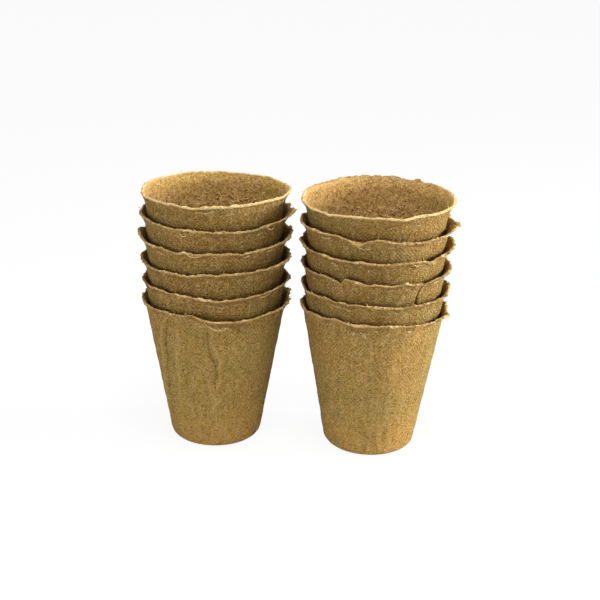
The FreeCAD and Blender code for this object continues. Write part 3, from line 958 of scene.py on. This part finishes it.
def pulp_material(name, number, lowest, filled):
    """Moulded pulp: blotches, felt, curly fibres, a screen's imprint and a torn edge, palest on a top pot, as
    painted shade darkens the rim and torn edge of a pot that holds another. Painted shade also darkens a
    nested pot's wall and its creases, and painted light brightens the foot.
    """
    rim_colour, torn_dark, torn_light = RIM_PALE, TORN_TAN, TORN_PALE
    # A pot that holds another gets darker rim and torn-edge colours, partly the wall-like colour of its torn
    # pulp and partly painted shade from the pots above it
    if filled:
        rim_colour, torn_dark, torn_light = RIM_BROWN_AND_SHADE, TORN_BROWN_AND_SHADE, TORN_TAN
    material, tree, scaled = empty_material(name)
    offset = 17.0 * number, 9.0 * number, 5.0 * number
    place = node(tree, "VectorMath", scaled, offset, operation="ADD").outputs[0]
    streak_place = node(tree, "VectorMath", place, (1.0, 1.0, 0.15), operation="MULTIPLY").outputs[0]
    edge, inside, crease, rim, peel = (
        node(tree, "Attribute", attribute_name=layer).outputs["Fac"] for layer in LAYERS
    )

    # Patterns, from large to small; the inside has weaker dark specks and relief
    lively = math_node(tree, "SUBTRACT", 1.0, times(tree, inside, 0.6))
    blotch = noise_node(tree, place, 40.0, 2.0)
    patch = noise_node(tree, place, 6.0, 3.0)
    streak = noise_node(tree, streak_place, 3.0, 3.0)
    felt = noise_node(tree, place, 1.8, 4.0, 0.75)
    grain = noise_node(tree, place, 0.9, 2.0, 0.6)
    curls = noise_node(tree, place, 2.6, 1.0, 0.5, 1.8)
    ridge = math_node(tree, "ABSOLUTE", math_node(tree, "SUBTRACT", curls, 0.5))
    curl = times(tree, step_node(tree, ridge, 0.0, 0.03, 1.0, 0.0), step_node(tree, patch, 0.45, 0.6))
    dots = times(tree, imprint(tree, scaled), step_node(tree, patch, 0.35, 0.65, 0.25, 1.0))
    dots = times(tree, dots, math_node(tree, "SUBTRACT", 1.0, inside))

    # The two sides of the wall
    upward = node(tree, "SeparateXYZ", scaled).outputs[2]
    outer = mix_node(tree, step_node(tree, blotch, 0.38, 0.62), OLIVE, WARM)
    # Paler and warmer towards the foot: partly the pulp's warmer tone there and partly painted light,
    # standing in for light bounced up from the floor
    outer = mix_node(tree, step_node(tree, upward, 34.0, 2.0, 0.0, 0.6), outer, FOOT_WARM_AND_LIT)
    # A nested pot's wall gets painted shade, which stands in for the shade under the lips above it
    if not lowest:
        outer = mix_node(tree, NESTED_PAINTED_SHADE, outer, DARK)
    outer = mix_node(tree, step_node(tree, streak, 0.52, 0.75, 0.0, 0.6), outer, LIGHT)
    outer = mix_node(tree, step_node(tree, streak, 0.46, 0.25, 0.0, 0.5), outer, DARK)
    outer = mix_node(tree, step_node(tree, patch, 0.5, 0.25, 0.0, 0.4), outer, DARK)
    inner = mix_node(tree, step_node(tree, felt, 0.32, 0.6), INSIDE_DARK, INSIDE_BROWN)
    inner = mix_node(tree, step_node(tree, blotch, 0.45, 0.65, 0.0, 0.8), inner, OLIVE)
    # Inside a pot that holds another: a darker brown, partly the inner felt's own colour and partly painted
    # shade in the gap between nested pots
    if filled:
        inner = mix_node(tree, FILLED_BROWN_AND_SHADE, inner, NEST_BROWN_AND_SHADE)

    # Specks, dots and curls on both
    body = mix_node(tree, inside, outer, inner)
    body = mix_node(tree, step_node(tree, felt, 0.5, 0.72, 0.0, 0.7), body, LIGHT)
    body = mix_node(tree, times(tree, lively, step_node(tree, felt, 0.48, 0.28, 0.0, 0.8)), body, DARK)
    body = mix_node(tree, times(tree, lively, step_node(tree, grain, 0.5, 0.25, 0.0, 0.65)), body, SHADE)
    body = mix_node(tree, step_node(tree, grain, 0.52, 0.7, 0.0, 0.9), body, LIGHT)
    body = mix_node(tree, step_node(tree, dots, 0.1, 0.9, 0.0, 0.4), body, LIGHT)
    body = mix_node(tree, step_node(tree, dots, -0.1, -0.9, 0.0, 0.4), body, DARK)
    body = mix_node(tree, times(tree, curl, 0.6), body, FIBRE)

    # The rim's smooth band, painted shade in creases and a painted highlight on ridges, peeled strips and the
    # torn edge
    band = times(tree, times(tree, rim, inside), step_node(tree, patch, 0.2, 0.5, 0.5, 0.85))
    body = mix_node(tree, band, body, rim_colour)
    # Painted shade in creases and the split, and a painted highlight along ridges
    body = mix_node(tree, step_node(tree, crease, 0.3, 1.05, 0.0, 0.85), body, SHADE)
    body = mix_node(tree, step_node(tree, crease, -0.1, -0.6, 0.0, 0.4), body, LIGHT)
    body = mix_node(tree, times(tree, peel, 0.45), body, PEEL_BROWN)
    uneven = times(tree, math_node(tree, "SUBTRACT", patch, 0.5), 1.6)
    torn = math_node(tree, "ADD", edge, uneven)
    pale = mix_node(tree, step_node(tree, felt, 0.3, 0.65), torn_dark, torn_light)
    pale = mix_node(tree, step_node(tree, patch, 0.54, 0.62, 0.0, 0.7), pale, TORN_PALE)
    body = mix_node(tree, step_node(tree, torn, 0.3, 0.9), body, pale)

    height = math_node(tree, "ADD", felt, times(tree, grain, 0.45))
    height = math_node(tree, "ADD", height, times(tree, curl, 0.25))
    height = math_node(tree, "ADD", height, times(tree, dots, 0.16))
    bump = finish_material(tree, body, height, PULP_BUMP)
    tree.links.new(lively, bump.inputs["Strength"])
    return material


def fibre_material(name):
    """Loose fibres: paler than the pulp, and uneven."""
    material, tree, place = empty_material(name)
    shade = mix_node(tree, step_node(tree, noise_node(tree, place, 3.0, 3.0), 0.35, 0.65), TORN_TAN, FIBRE)
    finish_material(tree, shade, noise_node(tree, place, 0.3, 2.0), FIBRE_BUMP)
    return material


def finish_material(tree, body, height, deep):
    """A dry, matte surface with fine relief; the node that makes the relief is returned."""
    bump = tree.nodes.new("ShaderNodeBump")
    bump.inputs["Distance"].default_value = deep * MM
    tree.links.new(height, bump.inputs["Height"])
    shader = tree.nodes.new("ShaderNodeBsdfPrincipled")
    shader.inputs["Roughness"].default_value = ROUGHNESS
    shader.inputs["Specular IOR Level"].default_value = SPECULAR
    tree.links.new(body, shader.inputs["Base Color"])
    tree.links.new(bump.outputs[0], shader.inputs["Normal"])
    output = tree.nodes.new("ShaderNodeOutputMaterial")
    tree.links.new(shader.outputs[0], output.inputs[0])
    return bump


def camera():
    """The photograph's point of view."""
    ahead = Vector((math.sin(YAW) * math.cos(PITCH), math.cos(YAW) * math.cos(PITCH), -math.sin(PITCH)))
    level = Vector((math.cos(YAW), -math.sin(YAW), 0))
    upward = level.cross(ahead)
    right = math.cos(ROLL) * level + math.sin(ROLL) * upward
    up = math.cos(ROLL) * upward - math.sin(ROLL) * level
    data = bpy.data.cameras.new("camera")
    data.sensor_width = SENSOR_WIDTH
    data.lens = SENSOR_WIDTH * FOCAL_LENGTH / IMAGE_WIDTH
    made = bpy.data.objects.new("camera", data)
    turn = Matrix((right, up, -ahead)).transposed().to_4x4()
    made.matrix_world = Matrix.Translation((Vector(AIM) - DISTANCE * ahead) * MM) @ turn
    bpy.context.scene.collection.objects.link(made)
    bpy.context.scene.camera = made


def seen_directly(tree):
    """1 for what the camera sees straight, in gloss or through glass, and 0 for the light on surfaces."""
    path = node(tree, "LightPath")
    seen = math_node(tree, "MAXIMUM", path.outputs["Is Camera Ray"], path.outputs["Is Glossy Ray"])
    return math_node(tree, "MAXIMUM", seen, path.outputs["Is Transmission Ray"])


def lighting():
    """A key light from the right, one from above, a weak one from the front left, and an even surround."""
    world = bpy.data.worlds.new("surround")
    bpy.context.scene.world = world
    world.use_nodes = True
    tree = world.node_tree
    tree.nodes.clear()
    strength = node(tree, "MapRange", seen_directly(tree), 0.0, 1.0, SURROUND, 1.0).outputs[0]
    background = node(tree, "Background", (1, 1, 1, 1), strength)
    output = tree.nodes.new("ShaderNodeOutputWorld")
    tree.links.new(background.outputs[0], output.inputs[0])
    for name, place, size, power in LAMPS:
        data = bpy.data.lights.new(name, "AREA")
        data.shape = "DISK"
        data.size = size
        data.energy = power
        lamp = bpy.data.objects.new(name, data)
        lamp.location = place
        lamp.rotation_euler = (Vector(LIT_PLACE) - lamp.location).to_track_quat("-Z", "Y").to_euler()
        bpy.context.scene.collection.objects.link(lamp)


def stage():
    """A wide pale floor, which keeps the pots' shadow."""
    corners = (-1, -1), (1, -1), (1, 1), (-1, 1)
    points = np.array([(x * FLOOR_REACH, y * FLOOR_REACH, 0) for x, y in corners])
    floor = make_mesh("floor", points, np.array([(0, 1, 2, 3)]), Vector((0, 0, 0)))
    material = bpy.data.materials.new("floor")
    material.use_nodes = True
    tree = material.node_tree
    tree.nodes.clear()
    matte = node(tree, "BsdfDiffuse", (FLOOR_GREY, FLOOR_GREY, FLOOR_GREY, 1))
    white = node(tree, "Emission", (1, 1, 1, 1), 1.0)
    share = times(tree, seen_directly(tree), FLOOR_WHITE)
    mixed = node(tree, "MixShader", share, matte.outputs[0], white.outputs[0])
    output = tree.nodes.new("ShaderNodeOutputMaterial")
    tree.links.new(mixed.outputs[0], output.inputs[0])
    floor.data.materials.append(material)


def stack(side, first, fibre):
    """The pots of one stack, bottom to top."""
    names = [f"{side}_pot_{n}" for n in range(1, 7)]
    feet = [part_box(name)[0].z / MM for name in names]
    gaps = [(high - low) * math.sin(DRAFT) - WALL for low, high in zip(feet, feet[1:])]
    for index, name in enumerate(names):
        below = gaps[index - 1] if index else 0
        above = gaps[index] if index < len(gaps) else 0
        number = first + index
        place, strips = pot_rings(name, below, above, number)
        pot = make_pot(name + "_pulp", place, strips)
        pot.data.materials.append(pulp_material(name + "_pulp", number, not below, bool(above)))
        fibres = make_fibres(name, place, strips, bool(above), number)
        fibres.data.materials.append(fibre)
        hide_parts(name)
        for piece in (pot, fibres):
            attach(piece, name)


bpy.context.scene.view_settings.view_transform = "Standard"
camera()
lighting()
stage()
loose = fibre_material("fibre")
stack("left", 1, loose)
stack("right", 7, loose)
